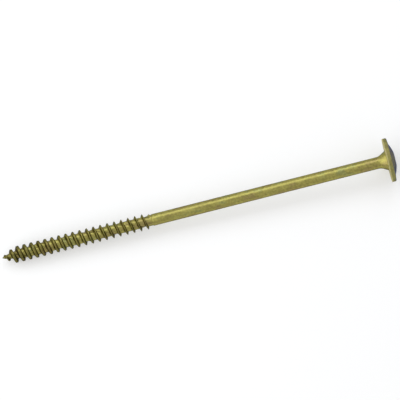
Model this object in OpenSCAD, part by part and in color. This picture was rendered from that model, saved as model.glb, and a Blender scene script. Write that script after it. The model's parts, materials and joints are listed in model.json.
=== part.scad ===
// Construction screw for timber with a wide flanged head, lying as it comes to rest on a flat surface.
// The origin is the centre of the head's underside, on the screw's axis. The head points to +X and the
// tip to -X, with +Z up. The axis leans a little, because the head is wider than the thread.

/* [Length] */
// Length from the head's underside to the tip
length = 200; // [140:1:320]
// Length from the tip to the start of the plain shank
threaded_length = 78; // [50:1:110]

/* [Shank] */
// Diameter of the plain shank
shank_d = 6; // [5.7:0.05:6.8]
// Bevel at the shank's lower end
shank_bevel = 0.12; // [0.02:0.02:0.14]

/* [Thread] */
// Hand of the thread
thread_hand = "right"; // [right, left]
// Outside diameter of the thread
thread_d = 8.3; // [7:0.1:9.4]
// Diameter of the core between the ridges
core_d = 5.45; // [4.8:0.05:5.5]
// Distance from one ridge to the next
pitch = 3.6; // [3:0.1:5]
// Width of the ridge's crest near the tip
crest_w_tip = 1.7; // [0.5:0.05:1.9]
// Width of the ridge's crest near the shank
crest_w_end = 0.2; // [0.1:0.05:0.6]
// Rise of the rounded crest above its two edges
crest_crown = 0.12; // [0.02:0.02:0.2]
// Lean of the flank that faces the tip, from square to the axis, in degrees
leading_lean = 25; // [10:1:30]
// Lean of the flank that faces the head, from square to the axis, in degrees
trailing_lean = 6; // [2:1:15]
// Angle round the axis at which the ridge leaves the tip
thread_start = 15; // [0:15:345]
// Length over which the ridge fades into the core below the shank
runout_length = 2.5; // [1.5:0.5:10]

/* [Flutes] */
// Number of slow flutes that wind along the core
flute_count = 2; // [1:1:4]
// Depth of a flute
flute_depth = 0.5; // [0.1:0.05:0.8]
// Width of a flute round the core, in degrees
flute_angle = 80; // [45:5:100]
// Length of one full turn of a flute
flute_lead = 30; // [16:0.5:60]
// Angle round the axis at which the first flute leaves the tip
flute_start = 115; // [0:5:175]

/* [Point] */
// Length of the point, over which the core swells to its full diameter
point_length = 12.5; // [9:0.5:18]
// Length over which the ridge swells to its full diameter
ridge_swell_length = 7; // [4:0.5:9]
// Distance from the tip to the middle of the ridge where it starts
ridge_start = 0.5; // [0.4:0.05:1]

/* [Head] */
// Diameter of the flange
flange_d = 22.4; // [18:0.2:30]
// Thickness of the flange at its rim
flange_t = 2.4; // [1.6:0.1:4]
// Radius of the rim's lower edge
rim_lower_r = 0.35; // [0.1:0.05:0.6]
// Radius of the rim's upper edge
rim_upper_r = 0.7; // [0.2:0.05:0.9]
// Rise of the flange's upper face from its rim to the dome
flange_rise = 0.3; // [0.1:0.05:0.8]
// Diameter of the dome's foot
dome_d = 16; // [11:0.2:17]
// Height of the dome above its foot
dome_h = 1.9; // [1:0.1:3.5]
// Diameter of the cone under the head, where it meets the flange
collar_d = 10.2; // [8:0.1:13]
// Lean of the cone from the screw's axis, in degrees
collar_lean = 30; // [20:1:45]
// Radius that blends the cone into the shank
collar_blend_r = 5; // [1:0.5:8]

/* [Drive recess] */
// Diameter over the lobes of the six-lobe recess
recess_d = 6.75; // [5.6:0.05:7.9]
// Diameter between the flutes of the recess
recess_inner_d = 4.85; // [4.05:0.05:5.6]
// Radius of each flute of the recess
recess_flute_r = 1.48; // [1.2:0.02:1.8]
// Depth of the recess below the top of the dome
recess_depth = 3.9; // [2.5:0.1:4.6]
// Width of the bevel round the recess's mouth
recess_bevel = 0.25; // [0.1:0.05:0.5]

/* [Hidden] */
$fn = 96;

lobes = 6;
arc_steps = 8;
ring_steps = 30;
tip_exponent = 0.6;
ridge_exponent = 0.75;
recess_floor_lean = 30;
overlap = 1;

shank_r = shank_d / 2;
thread_r = thread_d / 2;
core_r = core_d / 2;
flange_r = flange_d / 2;
dome_foot_r = dome_d / 2;
collar_r = collar_d / 2;
head_h = flange_t + flange_rise + dome_h;
dome_r = (dome_foot_r * dome_foot_r + dome_h * dome_h) / (2 * dome_h);

// The ridge, measured along the axis from the tip
ridge_end = threaded_length;
ridge_h = thread_r - core_r;
leading_run = ridge_h * tan(leading_lean);
trailing_run = ridge_h * tan(trailing_lean);
sweep_end = threaded_length + pitch + overlap;
sweep_steps = ceil((sweep_end - ridge_start) / pitch * ring_steps);

function share(t) = min(1, max(0, t));
function smooth(t) = let (c = share(t)) c * c * (3 - 2 * c);
function ridge_place(step) = ridge_start + pitch * step / ring_steps;
function ridge_swell(d) = pow(share(d / ridge_swell_length), ridge_exponent);
function ridge_fade(d) = smooth((ridge_end - d) / runout_length);
function crest_w(d) = crest_w_tip + (crest_w_end - crest_w_tip) * share(d / ridge_end);

// Radius of the point and core at a distance from the tip, without the flutes
function plain_core_r(d) = core_r * pow(share(d / point_length), tip_exponent);

// Depth of the flutes at a distance from the tip and an angle round the axis. They fade at both ends.
function flute_offset(d, angle) =
    let (turned = angle - flute_start - 360 * d / flute_lead, between = 360 / flute_count)
    abs(turned - between * round(turned / between));
function flute_fade(d) = smooth(d / point_length) * ridge_fade(d);
function flute_cut(d, angle) =
    let (off = flute_offset(d, angle) / (flute_angle / 2))
    flute_depth * flute_fade(d) * (off < 1 ? (1 + cos(180 * off)) / 2 : 0);
function core_at(d, angle) = plain_core_r(d) - flute_cut(d, angle);

// Height of the ridge over the core, and radius of its crest, at a distance from the tip
function ridge_height(d) = max(0, thread_r * ridge_swell(d) - plain_core_r(d)) * ridge_fade(d);
function crest_at(d) = plain_core_r(d) + ridge_height(d);

// Resting pose: the rim's lower edge and the first full crest touch the same flat surface
full_turns = ceil((ridge_swell_length - ridge_start) / pitch + thread_start / 360);
contact_ridge = ridge_start + pitch * (full_turns - thread_start / 360);
rest_rise = flange_r - rim_lower_r - crest_at(contact_ridge);
rest_run = length - contact_ridge + rim_lower_r;
rest_tilt = atan2(rest_rise, rest_run) + asin(rim_lower_r / norm([rest_rise, rest_run]));

function arc(centre, r, from, to, steps = arc_steps) =
    [for (i = [0 : steps]) let (a = from + (to - from) * i / steps) centre + r * [cos(a), sin(a)]];

// Outline of the shank and head, as [radius, height above the head's underside]
module head_and_shank() {
    blend_rise = collar_blend_r * sin(collar_lean);
    blend_out = collar_blend_r * (1 - cos(collar_lean));
    cone_rise = (collar_r - shank_r - blend_out) / tan(collar_lean);
    dome_half_angle = asin(dome_foot_r / dome_r);
    upper_lean = atan2(flange_rise, flange_r - dome_foot_r);
    rotate_extrude() polygon(concat(
        [
            [0, threaded_length - length],
            [shank_r - shank_bevel, threaded_length - length],
            [shank_r, threaded_length - length + 2 * shank_bevel]
        ],
        arc([shank_r + collar_blend_r, -cone_rise - blend_rise], collar_blend_r, 180, 180 - collar_lean),
        [[collar_r, 0]],
        arc([flange_r - rim_lower_r, rim_lower_r], rim_lower_r, -90, 0),
        arc([flange_r - rim_upper_r, flange_t - rim_upper_r], rim_upper_r, 0, 90 - upper_lean),
        arc([0, head_h - dome_r], dome_r, 90 - dome_half_angle, 90)
    ));
}

// Six-lobe recess with a bevelled mouth and a drilled floor
module drive_recess() {
    floor_z = head_h - recess_depth;
    recess_r = recess_d / 2;
    inner_r = recess_inner_d / 2;
    mouth_z = head_h - dome_r + sqrt(dome_r * dome_r - recess_r * recess_r);
    translate([0, 0, floor_z]) linear_extrude(recess_depth + overlap) difference() {
        circle(r = recess_r);
        for (i = [0 : lobes - 1])
            rotate((i + 0.5) * 360 / lobes)
                translate([inner_r + recess_flute_r, 0]) circle(r = recess_flute_r);
    }
    translate([0, 0, floor_z - inner_r * tan(recess_floor_lean)])
        cylinder(r1 = 0, r2 = inner_r, h = inner_r * tan(recess_floor_lean));
    translate([0, 0, mouth_z - recess_bevel])
        cylinder(r1 = recess_r - recess_bevel, r2 = recess_r + overlap, h = recess_bevel + overlap);
}

// One section across the ridge, from the tip's side: foot, edge, crown and edge of the crest, foot
function ridge_section(step) =
    let (
        d = ridge_place(step),
        angle = thread_start + 360 * step / ring_steps,
        size = ridge_swell(d),
        half_crest = size * crest_w(d) / 2,
        lower_foot = d - half_crest - size * leading_run,
        upper_foot = d + half_crest + size * trailing_run,
        edge = plain_core_r(d) + ridge_height(d) * (1 - crest_crown / ridge_h),
        places = [lower_foot, d - half_crest, d, d + half_crest, upper_foot],
        radii = [core_at(lower_foot, angle), edge, crest_at(d), edge, core_at(upper_foot, angle)]
    )
    [for (k = [0 : len(places) - 1]) [radii[k] * cos(angle), radii[k] * sin(angle), places[k]]];

// Point, core and ridge as one skin that winds up from the tip and ends inside the shank
module threaded_end() {
    per_section = len(ridge_section(0));
    foot = per_section - 1;
    tip = 0;
    inner_end = 1;
    last = sweep_steps;
    function at(step, k) = 2 + step * per_section + k;
    function fan(hub, path) = [for (i = [0 : len(path) - 2]) [hub, path[i], path[i + 1]]];
    skin = [for (step = [0 : last]) each ridge_section(step)];
    strips = [
        for (step = [0 : last - 1], k = [0 : foot - 1])
            each [[at(step, k), at(step + 1, k + 1), at(step + 1, k)],
                  [at(step, k), at(step, k + 1), at(step + 1, k + 1)]]
    ];
    valleys = [
        for (step = [0 : last - ring_steps - 1])
            let (above = step + ring_steps)
            each [[at(step, foot), at(above + 1, 0), at(step + 1, foot)],
                  [at(step, foot), at(above, 0), at(above + 1, 0)]]
    ];
    // Each end closes on the axis, with one facet that takes up the step between the first and last turn
    first_section = [for (k = [foot : -1 : 0]) at(0, k)];
    last_section = [for (k = [0 : foot]) at(last, k)];
    lower_seam = ring_steps - 1;
    upper_seam = last - ring_steps + 1;
    lower_end = concat(
        fan(tip, [for (step = [0 : lower_seam]) at(step, 0)]),
        fan(at(lower_seam, 0), concat([at(lower_seam + 1, 0)], first_section, [tip]))
    );
    upper_end = concat(
        fan(inner_end, [for (step = [last : -1 : upper_seam]) at(step, foot)]),
        fan(at(upper_seam, foot), concat([at(upper_seam - 1, foot)], last_section, [inner_end]))
    );
    translate([0, 0, -length]) polyhedron(
        concat([[0, 0, 0], [0, 0, sweep_end + overlap]], skin),
        concat(strips, valleys, lower_end, upper_end)
    );
}

module screw() {
    color("#b3a55c")
        rotate([0, 90 - rest_tilt, 0])
            difference() {
                union() {
                    head_and_shank();
                    mirror([0, thread_hand == "left" ? 1 : 0, 0]) threaded_end();
                }
                drive_recess();
            }
}

screw();
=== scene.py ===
# Construction screw for timber, yellow zinc plated, lying on a pale table
import json
import math

import bmesh
import bpy
from mathutils import Matrix, Vector


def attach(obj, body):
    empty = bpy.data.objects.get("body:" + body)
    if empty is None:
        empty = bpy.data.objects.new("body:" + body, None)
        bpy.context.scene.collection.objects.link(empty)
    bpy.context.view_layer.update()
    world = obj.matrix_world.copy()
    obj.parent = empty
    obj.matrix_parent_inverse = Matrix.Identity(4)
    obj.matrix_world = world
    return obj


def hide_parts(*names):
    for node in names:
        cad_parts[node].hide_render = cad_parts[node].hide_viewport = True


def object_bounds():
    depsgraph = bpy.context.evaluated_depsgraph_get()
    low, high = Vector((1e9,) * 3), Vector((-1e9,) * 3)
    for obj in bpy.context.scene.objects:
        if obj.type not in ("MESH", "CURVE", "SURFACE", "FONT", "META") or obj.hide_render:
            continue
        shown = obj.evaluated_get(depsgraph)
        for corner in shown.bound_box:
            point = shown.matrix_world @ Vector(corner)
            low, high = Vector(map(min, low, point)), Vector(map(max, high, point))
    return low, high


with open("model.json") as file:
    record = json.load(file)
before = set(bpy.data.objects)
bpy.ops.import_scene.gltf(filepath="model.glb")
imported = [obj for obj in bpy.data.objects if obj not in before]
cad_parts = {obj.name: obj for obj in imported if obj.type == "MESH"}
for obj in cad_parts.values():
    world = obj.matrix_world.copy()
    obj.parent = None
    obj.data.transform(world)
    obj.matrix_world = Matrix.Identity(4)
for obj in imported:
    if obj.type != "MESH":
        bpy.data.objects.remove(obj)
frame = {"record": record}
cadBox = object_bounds()
mm = 0.001
weldGap = 0.001 * mm         # points closer than this become one


# The screw is modelled upright on its own axis, with z = 0 at the head's underside, and then laid down
mounts = {mount["name"]: mount for mount in frame["record"]["mounts"]}
seat = Vector(mounts["under_head_seat"]["pos_m"])
towardsHead = -Vector(mounts["under_head_seat"]["axis"]).normalized()
acrossAxis = Vector((0, 1, 0))
laidDown = Matrix((acrossAxis.cross(towardsHead), acrossAxis, towardsHead)).transposed().to_4x4()
laidDown.translation = seat


def hexToLinear(hexColour):     # the sRGB curve
    parts = [int(hexColour[i:i + 2], 16) / 255 for i in (1, 3, 5)]
    return [p / 12.92 if p <= 0.04045 else ((p + 0.055) / 1.055) ** 2.4 for p in parts] + [1.0]


def addNode(tree, kind, settings=None, inputs=None):
    node = tree.nodes.new(kind)
    for name, value in (settings or {}).items():
        setattr(node, name, value)
    for place, value in (inputs or {}).items():
        if isinstance(value, bpy.types.NodeSocket):
            tree.links.new(value, node.inputs[place])
        else:
            node.inputs[place].default_value = value
    return node


# Materials

zincFinish = {
    "filmAndPaintedLight": [                # level of the noise, and the film's colour there
        (0.37, "#998c57"),   # rosy brown
        (0.46, "#9b9352"),   # olive, most of the shank
        (0.55, "#a59e57"),   # straw, brighter
        (0.64, "#95955b"),   # grey green
    ],
    "patch": 4.5,            # mm, size of the colour patches
    "patchStretch": 2.0,     # times longer along the screw
    "patchDetail": 4.0,      # finer layers of patches
    "grain": 1.1,            # mm, crystals of the plating, drawn coarse enough to show
    "grainDetail": 2.0,      # finer layers of grain
    "fineShare": 0.6,        # strength of each finer layer
    "grainSpan": (0.3, 0.7),     # levels of the noise in the darkest and the brightest grain
    "speck": (0.78, 1.2),        # times the film's colour at those levels
    "roughness": (0.32, 0.44),   # at those levels
    "relief": 0.1,           # mm, height of the grain
    "reliefStrength": 0.5,
    "rimRoughness": 0.28,    # added on the flange's rim
    "dark": "#4d4420",       # painted shade at the foot of the ridge and on the ridge, and the darker tone at the tip
    "paintedDarkReflection": "#8f8b68",      # painted dark reflection on the dome, duller
    "paintedDarkShare": 0.45,      # how much that painted dark reflection dulls the dome
    "paintedHighlight": "#cfc8a0",       # painted highlight on the rim's lower edge, pale
    "paintedHighlightShare": 0.4,        # how much that painted highlight pales the edge
    "undersideHighlight": 0.2,        # how strong the painted highlight is under the flange, as a share of that edge
    "edge": "#6a76a6",       # slate blue at a glancing angle, partly the film's own and partly a painted dark reflection at the edges
    "paintedDarkEdge": "#1c50c4",  # the same on dome and rim, darker, a painted dark reflection
    "paintedHighlightEdge": "#fff8e6",   # the same under the flange and on the rim's lower edge, white, a painted highlight
}


# Yellow passivated zinc, barrel plated on cold-formed steel: a satin metal with an iridescent film that
# drifts between olive, straw and rosy brown and turns slate at a glancing angle, partly the film's own
# and partly a painted dark reflection. Dome and rim carry a painted dark reflection, dull and slate, the
# rim's lower edge and the underside a pale painted highlight, and the thread painted shade at the
# ridge's foot and on the ridge, and it grows darker towards the tip. A fine grain breaks the highlight
# into specks.
def makeYellowZincPlating():
    material = bpy.data.materials.new("yellowZincPlating")
    material.use_nodes = True
    tree = material.node_tree
    shader = tree.nodes["Principled BSDF"]
    coords = addNode(tree, "ShaderNodeTexCoord").outputs["Object"]
    patchSpace = addNode(tree, "ShaderNodeMapping", inputs={
        "Vector": coords, "Scale": (1 / zincFinish["patchStretch"], 1.0, 1.0)})
    patches = addNode(tree, "ShaderNodeTexNoise", inputs={
        "Vector": patchSpace.outputs["Vector"], "Scale": 1 / (zincFinish["patch"] * mm),
        "Detail": zincFinish["patchDetail"], "Roughness": zincFinish["fineShare"]})
    filmAndPaintedLight = addNode(tree, "ShaderNodeValToRGB", inputs={"Fac": patches.outputs["Fac"]})
    stops = filmAndPaintedLight.color_ramp.elements
    first, *between, last = zincFinish["filmAndPaintedLight"]
    for stop, (level, colour) in zip(stops, (first, last)):
        stop.position = level
        stop.color = hexToLinear(colour)
    for level, colour in between:
        stops.new(level).color = hexToLinear(colour)

    # painted dark reflection on dome and rim (1), painted highlight on the rim's lower edge and under
    # the flange (-1), neither on the shank (0)
    paintedLight = addNode(tree, "ShaderNodeAttribute", {"attribute_name": "filmAndPaintedLight"}).outputs["Fac"]
    dullness = addNode(tree, "ShaderNodeMath", {"operation": "MULTIPLY"}, {
        0: paintedLight, 1: zincFinish["paintedDarkShare"]})
    paleness = addNode(tree, "ShaderNodeMath", {"operation": "MULTIPLY"}, {
        0: paintedLight, 1: -zincFinish["paintedHighlightShare"]})
    dulled = addNode(tree, "ShaderNodeMix", {"data_type": "RGBA"}, {
        "Factor": dullness.outputs["Value"], "A": filmAndPaintedLight.outputs["Color"],
        "B": hexToLinear(zincFinish["paintedDarkReflection"])})
    layered = addNode(tree, "ShaderNodeMix", {"data_type": "RGBA"}, {
        "Factor": paleness.outputs["Value"], "A": dulled.outputs["Result"],
        "B": hexToLinear(zincFinish["paintedHighlight"])})

    # grain, and the painted shade of the thread, which is also darker towards the tip
    grain = addNode(tree, "ShaderNodeTexNoise", inputs={
        "Vector": coords, "Scale": 1 / (zincFinish["grain"] * mm),
        "Detail": zincFinish["grainDetail"], "Roughness": zincFinish["fineShare"]})
    darkGrain, brightGrain = zincFinish["grainSpan"]
    darkest, brightest = zincFinish["speck"]
    speck = addNode(tree, "ShaderNodeMapRange", inputs={
        "Value": grain.outputs["Fac"], "From Min": darkGrain, "From Max": brightGrain,
        "To Min": darkest, "To Max": brightest})
    specked = addNode(tree, "ShaderNodeMix", {"data_type": "RGBA", "blend_type": "MULTIPLY"}, {
        "Factor": 1.0, "A": layered.outputs["Result"], "B": speck.outputs["Result"]})
    # painted shade at the ridge's foot and on the ridge, and darker towards the tip
    paintedShadeAndTipDark = addNode(tree, "ShaderNodeAttribute", {"attribute_name": "paintedShadeAndTipDark"})
    darkened = addNode(tree, "ShaderNodeMix", {"data_type": "RGBA"}, {
        "Factor": paintedShadeAndTipDark.outputs["Fac"], "A": specked.outputs["Result"],
        "B": hexToLinear(zincFinish["dark"])})
    smoothest, roughest = zincFinish["roughness"]
    satin = addNode(tree, "ShaderNodeMapRange", inputs={
        "Value": grain.outputs["Fac"], "From Min": darkGrain, "From Max": brightGrain,
        "To Min": smoothest, "To Max": roughest})
    rim = addNode(tree, "ShaderNodeAttribute", {"attribute_name": "rim"})
    rougher = addNode(tree, "ShaderNodeMath", {"operation": "MULTIPLY_ADD"}, {
        0: rim.outputs["Fac"], 1: zincFinish["rimRoughness"], 2: satin.outputs["Result"]})

    # tint at a glancing angle: slate, partly the film's own and partly a painted dark reflection, darker
    # on dome and rim as painted dark reflection, white under the flange and on the rim's lower edge as
    # painted highlight
    paintedDarkReflection = addNode(tree, "ShaderNodeMix", {"data_type": "RGBA"}, {
        "Factor": paintedLight, "A": hexToLinear(zincFinish["edge"]),
        "B": hexToLinear(zincFinish["paintedDarkEdge"])})
    paintedHighlightAmount = addNode(tree, "ShaderNodeMath", {"operation": "MULTIPLY"}, {
        0: paintedLight, 1: -1 / zincFinish["undersideHighlight"]})
    edge = addNode(tree, "ShaderNodeMix", {"data_type": "RGBA"}, {
        "Factor": paintedHighlightAmount.outputs["Value"], "A": paintedDarkReflection.outputs["Result"],
        "B": hexToLinear(zincFinish["paintedHighlightEdge"])})
    relief = addNode(tree, "ShaderNodeBump", inputs={
        "Height": grain.outputs["Fac"], "Strength": zincFinish["reliefStrength"],
        "Distance": zincFinish["relief"] * mm})
    shader.inputs["Metallic"].default_value = 1.0
    tree.links.new(darkened.outputs["Result"], shader.inputs["Base Color"])
    tree.links.new(rougher.outputs["Value"], shader.inputs["Roughness"])
    tree.links.new(edge.outputs["Result"], shader.inputs["Specular Tint"])
    tree.links.new(relief.outputs["Normal"], shader.inputs["Normal"])
    return material


zincPlating = makeYellowZincPlating()
print("plating mixed")


# Threaded end: one skin that winds up from the tip, made of sections across the ridge

thread = {
    "length": 78.0,          # mm, tip to shank
    "outer": 8.3,            # mm across the ridge
    "core": 5.45,            # mm across the core
    "pitch": 3.6,            # mm from ridge to ridge
    "crestAtTip": 1.7,       # mm, width of the crest at the tip
    "crestAtShank": 0.2,     # mm, width of the crest at the shank
    "leadingLean": 25.0,     # degrees, flank that faces the tip
    "trailingLean": 6.0,     # degrees, flank that faces the head
    "rounding": 0.3,         # mm, round of the crest's edges
    "fillet": 0.2,           # mm, fillet at the ridge's foot
    "startAngle": 15.0,      # degrees round the axis
    "runOut": 2.5,           # mm over which the ridge fades
    "ridgeStart": 0.5,       # mm from the tip
    "ridgeSwell": 7.0,       # mm over which the ridge swells
    "ridgePower": 0.75,      # curve of that swelling: below 1 it is steep at first
    "point": 12.5,           # mm over which the core swells
    "pointPower": 0.6,       # the same for the core
    "flutes": 2,
    "fluteDepth": 0.5,       # mm
    "fluteWidth": 80.0,      # degrees round the core
    "fluteLead": 30.0,       # mm for one turn of a flute
    "fluteStart": 115.0,     # degrees round the axis
    "footShadeLeading": 0.3,  # share of painted shade at the ridge's foot, on the side that faces the tip
    "footShadeTrailing": 0.1,     # the same on the side that faces the head
    "footShadeWidth": 0.5,    # mm to either side of the foot
    "ridgeShadeAtTip": 0.7,   # share of painted shade on the ridge, at the tip
    "ridgeShadeAtShank": 0.3,     # the same at the shank
    "tipDarkening": 0.8,          # share of darkening at the tip
    "tipDarkeningFade": 14.0,     # mm over which that fades
    "sides": 120,            # facets round the axis
    "sectionPoints": 26,     # points across one pitch
    "ridgePoints": 0.72,     # share of them on the ridge
    "sparePitches": 1.5,     # pitches of skin past the two ends together, which fold flat
}
screwLength = 200.0          # mm, head's underside to tip


def makeThreadTree(sizes):
    tree = bpy.data.node_groups.new("rolledThread", "GeometryNodeTree")
    tree.interface.new_socket("Geometry", in_out="OUTPUT", socket_type="NodeSocketGeometry")
    kinds = {float: "NodeSocketFloat", int: "NodeSocketInt", bpy.types.Material: "NodeSocketMaterial"}
    for name, value in sizes.items():
        tree.interface.new_socket(name, in_out="INPUT", socket_type=kinds[type(value)])
    known = {socket.name: socket for socket in addNode(tree, "NodeGroupInput").outputs}
    grid = addNode(tree, "GeometryNodeMeshGrid", inputs={
        "Size X": 1.0, "Size Y": 1.0, "Vertices X": known["Steps"],
        "Vertices Y": known["Section points"]})
    spot = addNode(tree, "ShaderNodeSeparateXYZ", inputs={
        "Vector": addNode(tree, "GeometryNodeInputPosition").outputs["Position"]})
    known["along"] = spot.outputs["X"]
    known["across"] = spot.outputs["Y"]

    # Each row is a name, an operation and its values: a number, an input or an earlier row.
    # LINEAR and SMOOTHSTEP map a value from one range to another.
    rows = [
        ("turn", "ADD", "along", 0.5),
        ("turn", "MULTIPLY", "turn", "Turns"),
        ("angle", "MULTIPLY_ADD", "turn", math.tau, "Start angle"),
        ("leadIn", "SUBTRACT", "Ridge start", "Pitch"),
        ("ridgeAt", "MULTIPLY_ADD", "turn", "Pitch", "leadIn"),
        # size of the ridge here: it swells from the tip
        ("share", "LINEAR", "ridgeAt", 0.0, "Ridge swell", 0.0, 1.0),
        ("size", "POWER", "share", "Ridge power"),
        ("crestWidth", "LINEAR", "ridgeAt", 0.0, "Length", "Crest at tip", "Crest at shank"),
        ("halfCrest", "MULTIPLY", "crestWidth", 0.5),
        ("side", "SIGN", "across"),
        ("run", "LINEAR", "side", -1.0, 1.0, "Leading run", "Trailing run"),
        ("halfFoot", "ADD", "halfCrest", "run"),
        ("halfFoot", "ADD", "halfFoot", "Fillet"),
        ("halfFoot", "MULTIPLY", "halfFoot", "size"),
        ("inner", "SUBTRACT", "halfCrest", "Rounding"),
        ("inner", "MAXIMUM", "inner", 0.0),
        ("inner", "MULTIPLY", "inner", "size"),
        # place across the ridge, with more points on the ridge than in the valley
        ("away", "ABSOLUTE", "across"),
        ("halfPitch", "MULTIPLY", "Pitch", 0.5),
        ("valley", "SUBTRACT", "halfPitch", "halfFoot"),
        ("ridgeReach", "MULTIPLY", "Ridge points", 0.5),
        ("onRidge", "LINEAR", "away", 0.0, "ridgeReach", 0.0, "halfFoot"),
        ("inValley", "LINEAR", "away", "ridgeReach", 0.5, 0.0, "valley"),
        ("offset", "ADD", "onRidge", "inValley"),
        ("place", "MULTIPLY_ADD", "side", "offset", "ridgeAt"),
        ("place", "MAXIMUM", "place", 0.0),
        ("place", "MINIMUM", "place", "Length"),
        # core with its point
        ("share", "LINEAR", "place", 0.0, "Point", 0.0, 1.0),
        ("swell", "POWER", "share", "Point power"),
        ("plainCore", "MULTIPLY", "swell", "Core radius"),
        # slow flutes, which fade at the point and below the shank
        ("turned", "SUBTRACT", "angle", "Flute start"),
        ("turned", "MULTIPLY_ADD", "place", "Flute rate", "turned"),
        ("negSpacing", "MULTIPLY", "Flute spacing", -1.0),
        ("off", "WRAP", "turned", "Flute spacing", "negSpacing"),
        ("off", "ABSOLUTE", "off"),
        ("off", "LINEAR", "off", 0.0, "Flute half width", 0.0, math.pi),
        ("dip", "COSINE", "off"),
        ("dip", "MULTIPLY_ADD", "dip", 0.5, 0.5),
        ("dip", "MULTIPLY", "dip", "Flute depth"),
        ("fadeTip", "SMOOTHSTEP", "place", 0.0, "Point", 0.0, 1.0),
        ("fadeFrom", "SUBTRACT", "Length", "Run-out"),
        ("fadeEnd", "SMOOTHSTEP", "place", "fadeFrom", "Length", 1.0, 0.0),
        ("dip", "MULTIPLY", "dip", "fadeTip"),
        ("dip", "MULTIPLY", "dip", "fadeEnd"),
        ("core", "SUBTRACT", "plainCore", "dip"),
        # crest, which fades below the shank
        ("share", "LINEAR", "ridgeAt", 0.0, "Point", 0.0, 1.0),
        ("swell", "POWER", "share", "Point power"),
        ("coreHere", "MULTIPLY", "swell", "Core radius"),
        ("crest", "MULTIPLY", "size", "Outer radius"),
        ("height", "SUBTRACT", "crest", "coreHere"),
        ("height", "MAXIMUM", "height", 0.0),
        ("fadeRidge", "SMOOTHSTEP", "ridgeAt", "fadeFrom", "Length", 1.0, 0.0),
        ("height", "MULTIPLY", "height", "fadeRidge"),
        ("crest", "ADD", "coreHere", "height"),
        # flanks between the foot and the rounded crest
        ("rise", "SMOOTHSTEP", "offset", "halfFoot", "inner", 0.0, 1.0),
        ("climb", "SUBTRACT", "crest", "core"),
        ("climb", "MAXIMUM", "climb", 0.0),
        ("radius", "MULTIPLY_ADD", "climb", "rise", "core"),
        ("cosine", "COSINE", "angle"),
        ("sine", "SINE", "angle"),
        ("x", "MULTIPLY", "radius", "cosine"),
        ("y", "MULTIPLY", "radius", "sine"),
        # painted shade at the foot of the ridge, more on the leading side
        ("dark", "SUBTRACT", "offset", "halfFoot"),
        ("dark", "ABSOLUTE", "dark"),
        ("dark", "SMOOTHSTEP", "dark", 0.0, "Foot shade width", 1.0, 0.0),
        ("dark", "MULTIPLY", "dark", "fadeRidge"),
        ("atFoot", "LINEAR", "side", -1.0, 1.0, "Foot shade, leading", "Foot shade, trailing"),
        ("dark", "MULTIPLY", "dark", "atFoot"),
        # painted shade on the ridge, more at the tip
        ("atCrest", "LINEAR", "place", 0.0, "Length", "Ridge shade at tip", "Ridge shade at shank"),
        ("atCrest", "MULTIPLY", "atCrest", "rise"),
        ("atCrest", "MULTIPLY", "atCrest", "fadeRidge"),
        ("dark", "MAXIMUM", "dark", "atCrest"),
        # darker at the tip, fading towards the shank
        ("atTip", "LINEAR", "place", 0.0, "Tip darkening fade", "Tip darkening", 0.0),
        ("dark", "MAXIMUM", "dark", "atTip"),
    ]
    for name, operation, *values in rows:
        inputs = {place: known.get(value, value) for place, value in enumerate(values)}
        if operation in ("LINEAR", "SMOOTHSTEP"):
            node = addNode(tree, "ShaderNodeMapRange", {"interpolation_type": operation}, inputs)
        else:
            node = addNode(tree, "ShaderNodeMath", {"operation": operation}, inputs)
        known[name] = node.outputs[0]

    spots = addNode(tree, "ShaderNodeCombineXYZ", inputs={
        "X": known["x"], "Y": known["y"], "Z": known["place"]})
    # stores the painted shade, and the darker tip, for the plating
    filmed = addNode(tree, "GeometryNodeStoreNamedAttribute", {"domain": "POINT"}, {
        "Geometry": grid.outputs["Mesh"], "Name": "paintedShadeAndTipDark", "Value": known["dark"]})
    skinned = addNode(tree, "GeometryNodeSetPosition", inputs={
        "Geometry": filmed.outputs["Geometry"], "Position": spots.outputs["Vector"]})
    welded = addNode(tree, "GeometryNodeMergeByDistance", inputs={
        "Geometry": skinned.outputs["Geometry"], "Distance": weldGap})
    real = addNode(tree, "GeometryNodeRealizeInstances", inputs={"Geometry": welded.outputs["Geometry"]})
    plated = addNode(tree, "GeometryNodeSetMaterial", inputs={
        "Geometry": real.outputs["Geometry"], "Material": known["Plating"]})
    addNode(tree, "NodeGroupOutput", inputs={"Geometry": plated.outputs["Geometry"]})
    return tree


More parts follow.
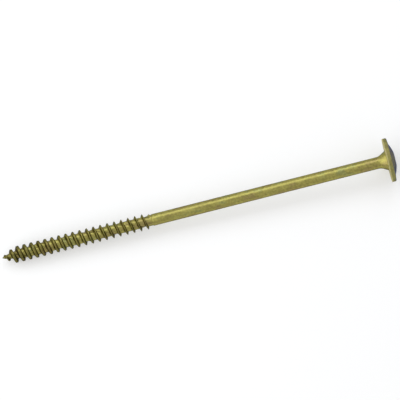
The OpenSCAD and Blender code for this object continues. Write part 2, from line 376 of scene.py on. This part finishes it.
def threadSizes():
    outer = thread["outer"] / 2
    core = thread["core"] / 2
    reach = thread["length"] + thread["pitch"] * thread["sparePitches"] - thread["ridgeStart"]
    turns = math.ceil(reach / thread["pitch"])
    return {
        "Turns": float(turns),
        "Pitch": thread["pitch"] * mm,
        "Ridge start": thread["ridgeStart"] * mm,
        "Start angle": math.radians(thread["startAngle"]),
        "Outer radius": outer * mm,
        "Core radius": core * mm,
        "Crest at tip": thread["crestAtTip"] * mm,
        "Crest at shank": thread["crestAtShank"] * mm,
        "Leading run": (outer - core) * math.tan(math.radians(thread["leadingLean"])) * mm,
        "Trailing run": (outer - core) * math.tan(math.radians(thread["trailingLean"])) * mm,
        "Rounding": thread["rounding"] * mm,
        "Fillet": thread["fillet"] * mm,
        "Run-out": thread["runOut"] * mm,
        "Point": thread["point"] * mm,
        "Point power": thread["pointPower"],
        "Ridge swell": thread["ridgeSwell"] * mm,
        "Ridge power": thread["ridgePower"],
        "Length": thread["length"] * mm,
        "Flute spacing": math.pi / thread["flutes"],
        "Flute half width": math.radians(thread["fluteWidth"] / 2),
        "Flute depth": thread["fluteDepth"] * mm,
        "Flute rate": -math.tau / (thread["fluteLead"] * mm),
        "Flute start": math.radians(thread["fluteStart"]),
        "Foot shade, leading": thread["footShadeLeading"],
        "Foot shade, trailing": thread["footShadeTrailing"],
        "Foot shade width": thread["footShadeWidth"] * mm,
        "Ridge shade at tip": thread["ridgeShadeAtTip"],
        "Ridge shade at shank": thread["ridgeShadeAtShank"],
        "Tip darkening": thread["tipDarkening"],
        "Tip darkening fade": thread["tipDarkeningFade"] * mm,
        "Ridge points": thread["ridgePoints"],
        "Steps": turns * thread["sides"] + 1,
        "Section points": thread["sectionPoints"] + 1,
        "Plating": zincPlating,
    }


def makeThreadMesh():
    sizes = threadSizes()
    tree = makeThreadTree(sizes)
    carrier = bpy.data.objects.new("threadCarrier", bpy.data.meshes.new("threadCarrier"))
    bpy.context.scene.collection.objects.link(carrier)
    modifier = carrier.modifiers.new("rolledThread", "NODES")
    modifier.node_group = tree
    for item in tree.interface.items_tree:
        if item.in_out == "INPUT":
            modifier[item.identifier] = sizes[item.name]
    finished = carrier.evaluated_get(bpy.context.evaluated_depsgraph_get())
    mesh = bpy.data.meshes.new_from_object(finished)
    carrier.modifiers.clear()
    bpy.data.objects.remove(carrier)
    mesh.transform(Matrix.Translation((0, 0, -screwLength * mm)))
    return mesh


# Shank, cone, head and drive recess, as rings round the axis

head = {
    "shank": 6.0,            # mm across
    "shankBevel": 0.12,      # mm, depth of the bevel at its lower end
    "shankBevelLength": 0.24,    # mm along the axis
    "flange": 22.4,          # mm across
    "flangeThick": 2.4,      # mm at the rim
    "rimLower": 0.35,        # mm, radius of the rim's lower edge
    "rimUpper": 0.7,         # mm, radius of the rim's upper edge
    "flangeRise": 0.3,       # mm from rim to dome
    "dome": 16.0,            # mm across its foot
    "domeRise": 1.9,         # mm
    "collar": 10.2,          # mm across where it meets the flange
    "collarLean": 30.0,      # degrees
    "collarBlend": 5.0,      # mm, radius into the shank
    "rimDepth": 0.05,        # mm in from the flange's edge that count as rim
    "rimDarkReflection": 0.8,          # share of the dome's painted dark reflection on the rim
    "paintedHighlightHeight": 0.55,          # mm, height of the rim's lower edge that carries the painted highlight
    "paintedHighlightFade": 0.15,      # mm over which that fades
    "shankRings": 30,
    "blendSteps": 12,        # steps of the arc into the shank
    "rimLowerSteps": 6,      # and of the other arcs
    "rimUpperSteps": 8,
    "domeSteps": 14,
    "coneRings": (0.33, 0.66, 1.0),              # where rings lie, as shares of a straight stretch
    "undersideRings": (0.25, 0.5, 0.75, 0.95),
    "topRings": (0.5, 0.88),
}
recess = {
    "lobes": 6,
    "across": 6.75,          # mm over the lobes
    "inner": 4.85,           # mm between the flutes
    "fluteRadius": 1.48,     # mm
    "depth": 3.9,            # mm below the top
    "bevel": 0.25,           # mm
    "wallTop": 0.05,         # mm below the bevel, where the walls start
    "mouthInset": 0.02,      # mm that the walls stand in from the lobes at the mouth
    "floorInset": 0.04,      # mm, the same at the floor
    "drillShare": 0.95,      # width of the drilled floor, as a share of the inner width
    "drillDrop": 0.06,       # mm from the floor to the drill's edge
    "floorLean": 30.0,       # degrees
}
ringMargin = 0.01            # mm, less than any gap between rings
sharpAngle = 50.0            # degrees, edges sharper than this stay creased


def arcPoints(centreR, centreZ, radius, start, end, steps):
    angles = [math.radians(start + (end - start) * i / steps) for i in range(steps + 1)]
    return [(centreR + radius * math.cos(a), centreZ + radius * math.sin(a)) for a in angles]


def linePoints(start, end, shares):
    return [(start[0] + (end[0] - start[0]) * t, start[1] + (end[1] - start[1]) * t) for t in shares]


def lobedRadius(angle):
    step = math.tau / recess["lobes"]
    off = (angle + step) % step - step / 2          # angle from the nearest flute's middle
    centre = recess["inner"] / 2 + recess["fluteRadius"]
    reach = centre * math.sin(abs(off))
    outer = recess["across"] / 2
    if reach >= recess["fluteRadius"]:
        return outer
    return min(outer, centre * math.cos(off) - math.sqrt(recess["fluteRadius"] ** 2 - reach ** 2))


def headOutline():
    shank = head["shank"] / 2
    flange = head["flange"] / 2
    dome = head["dome"] / 2
    lean = math.radians(head["collarLean"])
    blendRise = head["collarBlend"] * math.sin(lean)
    blendOut = head["collarBlend"] * (1 - math.cos(lean))
    coneRise = (head["collar"] / 2 - shank - blendOut) / math.tan(lean)
    bottom = thread["length"] - screwLength
    shankTop = -coneRise - blendRise
    shankBottom = bottom + head["shankBevelLength"]
    points = [(thread["core"] / 2, bottom), (shank - head["shankBevel"], bottom)]
    rings = head["shankRings"]
    points += linePoints((shank, shankBottom), (shank, shankTop), [i / rings for i in range(rings)])
    points += arcPoints(shank + head["collarBlend"], shankTop, head["collarBlend"],
                        180, 180 - head["collarLean"], head["blendSteps"])
    collar = head["collar"] / 2
    points += linePoints(points[-1], (collar, 0.0), head["coneRings"])
    underside = flange - head["rimLower"]
    points += linePoints((collar, 0.0), (underside, 0.0), head["undersideRings"])
    points += arcPoints(underside, head["rimLower"], head["rimLower"], -90, 0, head["rimLowerSteps"])
    # rings where the painted highlight on the rim's lower edge ends
    points += [(flange, head["paintedHighlightHeight"]), (flange, head["paintedHighlightHeight"] + head["paintedHighlightFade"])]
    upperLean = math.degrees(math.atan2(head["flangeRise"], flange - dome))
    points += arcPoints(flange - head["rimUpper"], head["flangeThick"] - head["rimUpper"],
                        head["rimUpper"], 0, 90 - upperLean, head["rimUpperSteps"])
    domeFoot = head["flangeThick"] + head["flangeRise"]
    points += linePoints(points[-1], (dome, domeFoot), head["topRings"])
    top = domeFoot + head["domeRise"]
    domeRadius = (dome ** 2 + head["domeRise"] ** 2) / (2 * head["domeRise"])
    footAngle = math.degrees(math.acos(dome / domeRadius))
    mouthAngle = math.degrees(math.acos(recess["across"] / 2 / domeRadius))
    points += arcPoints(0, top - domeRadius, domeRadius, footAngle, mouthAngle, head["domeSteps"])
    return points, top


def paintedLightAt(r, z):               # 1 is the dome's painted dark reflection, 0 the shank's plain film and -1 the painted highlight on the rim's lower edge
    if z > head["flangeThick"]:
        return 1.0
    if z > head["paintedHighlightHeight"]:
        return head["rimDarkReflection"]
    # painted highlight on the rim's lower edge, and weaker under the flange
    if z >= 0 and r > head["flange"] / 2 - head["rimLower"] - ringMargin:
        return -1.0
    if r > head["collar"] / 2 + ringMargin:
        return -zincFinish["undersideHighlight"]
    return 0.0


def makeHeadMesh():
    points, top = headOutline()
    mesh = bmesh.new()
    # layers for the plating: painted shade (none on the head), rim, and the painted dark reflection and
    # painted highlight
    mesh.verts.layers.float.new("paintedShadeAndTipDark")
    rimLayer = mesh.verts.layers.float.new("rim")
    paintedLightLayer = mesh.verts.layers.float.new("filmAndPaintedLight")
    start = math.radians(thread["startAngle"])
    angles = [start + math.tau * i / thread["sides"] for i in range(thread["sides"])]

    def addRing(radii, heights):
        return [mesh.verts.new((r * math.cos(a) * mm, r * math.sin(a) * mm, z * mm))
                for a, r, z in zip(angles, radii, heights)]

    rings = [addRing([r] * len(angles), [z] * len(angles)) for r, z in points]
    rimFrom = head["flange"] / 2 - head["rimDepth"]
    for (r, z), ring in zip(points, rings):
        for vert in ring:
            vert[rimLayer] = 1.0 if r > rimFrom else 0.0
            vert[paintedLightLayer] = paintedLightAt(r, z)

    # drive recess: bevel, lobed walls and drilled floor
    mouthR, mouthZ = points[-1]
    lobed = [lobedRadius(a) for a in angles]
    inner = recess["inner"] / 2
    floor = top - recess["depth"]
    atMouth = [r - recess["mouthInset"] for r in lobed]
    atFloor = [r - recess["floorInset"] for r in lobed]
    bevelFoot = [max(mouthR - recess["bevel"], r) for r in atMouth]
    wallTop = mouthZ - recess["bevel"] - recess["wallTop"]
    drillEdge = inner * recess["drillShare"]
    rings.append(addRing(bevelFoot, [mouthZ - (mouthR - r) for r in bevelFoot]))
    rings.append(addRing(atMouth, [wallTop] * len(angles)))
    rings.append(addRing(atFloor, [floor] * len(angles)))
    rings.append(addRing([drillEdge] * len(angles), [floor - recess["drillDrop"]] * len(angles)))
    for lower, upper in zip(rings, rings[1:]):
        for i in range(len(angles)):
            j = (i + 1) % len(angles)
            mesh.faces.new((lower[i], lower[j], upper[j], upper[i]))
    drillDepth = inner * math.tan(math.radians(recess["floorLean"]))
    drillTip = mesh.verts.new((0, 0, (floor - drillDepth) * mm))
    for i in range(len(angles)):
        mesh.faces.new((rings[-1][i], rings[-1][(i + 1) % len(angles)], drillTip))
    return mesh


def makeScrew():
    body = makeHeadMesh()
    body.from_mesh(makeThreadMesh())
    bmesh.ops.remove_doubles(body, verts=body.verts[:], dist=weldGap)
    bmesh.ops.recalc_face_normals(body, faces=body.faces[:])
    openEdges = sum(1 for edge in body.edges if not edge.is_manifold)
    mesh = bpy.data.meshes.new("screwBody")
    body.to_mesh(mesh)
    body.free()
    mesh.transform(laidDown)
    mesh.shade_smooth()
    mesh.set_sharp_from_angle(angle=math.radians(sharpAngle))
    mesh.materials.clear()
    mesh.materials.append(zincPlating)
    screw = bpy.data.objects.new("screwBody", mesh)
    bpy.context.scene.collection.objects.link(screw)
    triangles = sum(len(face.vertices) - 2 for face in mesh.polygons)
    print("screw made:", triangles, "triangles, open edges:", openEdges)
    return screw


screw = makeScrew()
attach(screw, "root")
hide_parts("screw")


# Table, light and camera

studio = {
    "table": "#c6c6c6",
    "tableRoughness": 0.9,
    "tableGlow": 0.38,       # brings the lit table up to white
    "tableSize": 12.0,       # m
    "skyTop": 0.77,          # brightness overhead
    "skyEdge": 0.58,         # brightness at the horizon
    "skyRise": 0.8,          # height at which it is as bright as overhead, where 1 is straight up
    "panels": [              # place in m from the screw's middle, size in m, brightness, colour
        {"name": "backPanel", "place": (0.0, 0.70, 0.85), "size": (1.4, 0.65), "level": 1.55,
         "colour": "#f3f8ff"},
        {"name": "leftPanel", "place": (-0.85, -0.04, 0.51), "size": (1.6, 0.75), "level": 1.5,
         "colour": "#ffffff"},
    ],
}
middle = (cadBox[0] + cadBox[1]) / 2


# Matt white laminate: pale and even, and it keeps the soft shadow under the screw
def makeTableTop():
    material = bpy.data.materials.new("mattWhiteLaminate")
    material.use_nodes = True
    tree = material.node_tree
    shader = tree.nodes["Principled BSDF"]
    shader.inputs["Base Color"].default_value = hexToLinear(studio["table"])
    shader.inputs["Roughness"].default_value = studio["tableRoughness"]
    shader.inputs["Specular IOR Level"].default_value = 0.0
    shader.inputs["Emission Color"].default_value = (1, 1, 1, 1)
    path = addNode(tree, "ShaderNodeLightPath")
    seen = addNode(tree, "ShaderNodeMath", {"operation": "MAXIMUM"}, {
        0: path.outputs["Is Camera Ray"], 1: path.outputs["Is Glossy Ray"]})
    seen = addNode(tree, "ShaderNodeMath", {"operation": "MAXIMUM"}, {
        0: seen.outputs["Value"], 1: path.outputs["Is Transmission Ray"]})
    glow = addNode(tree, "ShaderNodeMath", {"operation": "MULTIPLY"}, {
        0: seen.outputs["Value"], 1: studio["tableGlow"]})
    tree.links.new(glow.outputs["Value"], shader.inputs["Emission Strength"])
    return material


def makeTable():
    mesh = bpy.data.meshes.new("table")
    half = studio["tableSize"] / 2
    floor = cadBox[0].z
    corners = [(-half, -half, floor), (half, -half, floor), (half, half, floor), (-half, half, floor)]
    mesh.from_pydata(corners, [], [(0, 1, 2, 3)])
    mesh.materials.append(makeTableTop())
    table = bpy.data.objects.new("table", mesh)
    bpy.context.scene.collection.objects.link(table)


def lightStudio():
    world = bpy.data.worlds.new("softStudio")
    bpy.context.scene.world = world
    world.use_nodes = True
    tree = world.node_tree
    up = addNode(tree, "ShaderNodeSeparateXYZ", inputs={
        "Vector": addNode(tree, "ShaderNodeTexCoord").outputs["Generated"]})
    level = addNode(tree, "ShaderNodeMapRange", {"interpolation_type": "SMOOTHSTEP"}, {
        "Value": up.outputs["Z"], "From Min": 0.0, "From Max": studio["skyRise"],
        "To Min": studio["skyEdge"], "To Max": studio["skyTop"]})
    sky = tree.nodes["Background"]
    sky.inputs["Color"].default_value = (1, 1, 1, 1)
    tree.links.new(level.outputs["Result"], sky.inputs["Strength"])
    for panel in studio["panels"]:
        width, height = panel["size"]
        lamp = bpy.data.lights.new(panel["name"], "AREA")
        lamp.shape = "RECTANGLE"
        lamp.size = width
        lamp.size_y = height
        lamp.color = hexToLinear(panel["colour"])[:3]
        lamp.energy = panel["level"] * math.pi * width * height     # W for that brightness
        holder = bpy.data.objects.new(panel["name"], lamp)
        holder.location = middle + Vector(panel["place"])
        holder.rotation_euler = (middle - holder.location).to_track_quat("-Z", "Y").to_euler()
        bpy.context.scene.collection.objects.link(holder)


view = {
    "azimuth": -14.1,        # degrees, turned towards the tip
    "elevation": 78.0,       # degrees, looking down
    "distance": 8.0,         # m, a long lens
    "tip": (2.4, 258.1),     # px in the 400 px square picture
    "topX": 395.7,           # px, top of the dome
    "picture": 400,          # px
    "sensor": 36.0,          # mm
}


def placeCamera():
    azimuth = math.radians(view["azimuth"])
    elevation = math.radians(view["elevation"])
    back = Vector((math.sin(azimuth) * math.cos(elevation), -math.cos(azimuth) * math.cos(elevation),
                   math.sin(elevation)))
    right = Vector((math.cos(azimuth), math.sin(azimuth), 0))
    up = back.cross(right)
    headRise = head["flangeThick"] + head["flangeRise"] + head["domeRise"]
    tip = laidDown @ Vector((0, 0, -screwLength * mm))
    top = laidDown @ Vector((0, 0, headRise * mm))
    half = view["picture"] / 2
    scale = (top - tip).dot(right) / (view["topX"] - view["tip"][0])          # m for each px
    aim = tip + right * (half - view["tip"][0]) * scale - up * (half - view["tip"][1]) * scale
    camera = bpy.data.objects.new("camera", bpy.data.cameras.new("camera"))
    camera.location = aim + back * view["distance"]
    camera.rotation_euler = back.to_track_quat("Z", "Y").to_euler()
    camera.data.sensor_width = view["sensor"]
    camera.data.lens = view["sensor"] * view["distance"] / (view["picture"] * scale)
    bpy.context.scene.collection.objects.link(camera)
    bpy.context.scene.camera = camera


makeTable()
lightStudio()
placeCamera()
bpy.context.scene.view_settings.view_transform = "Standard"
print("studio lit, camera placed")
